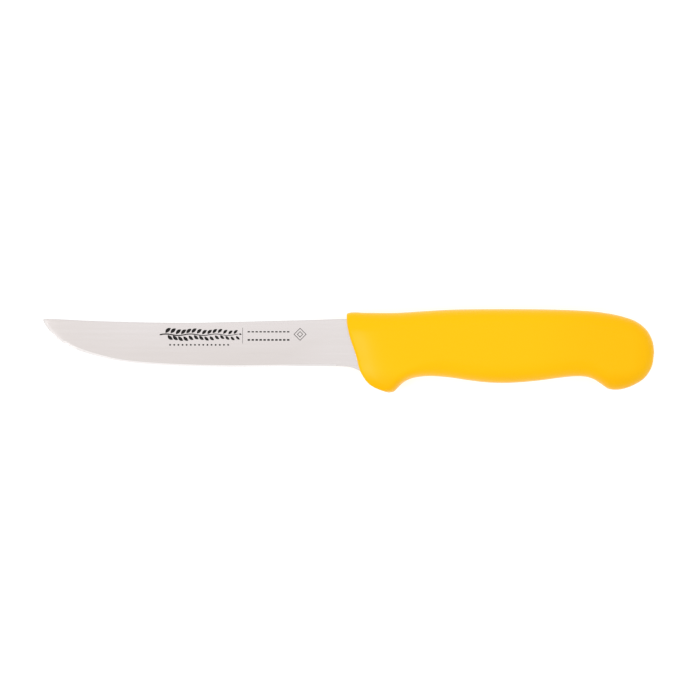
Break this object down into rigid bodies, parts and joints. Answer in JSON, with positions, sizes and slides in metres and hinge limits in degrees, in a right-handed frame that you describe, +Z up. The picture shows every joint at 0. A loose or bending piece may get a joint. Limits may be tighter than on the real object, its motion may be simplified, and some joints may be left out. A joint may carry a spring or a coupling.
{
  "type": "boning knife",
  "caption": "Boning knife: a narrow, slightly curved stainless blade in a moulded yellow handle with a finger guard and a hooked butt.",
  "frame": {"origin": "centre of the knife's plan outline, on the surface that the knife lies on", "axes": "+X from the point to the butt, +Y from the cutting edge to the spine, +Z up through the thickness of the handle"},
  "size_m": [0.295, 0.0404, 0.022],
  "materials": {
    "stainless_steel": "satin",
    "yellow_polypropylene": "satin"
  },
  "bodies": {
    "root": {"blade": "stainless_steel", "handle": "yellow_polypropylene"}
  },
  "joints": []
}
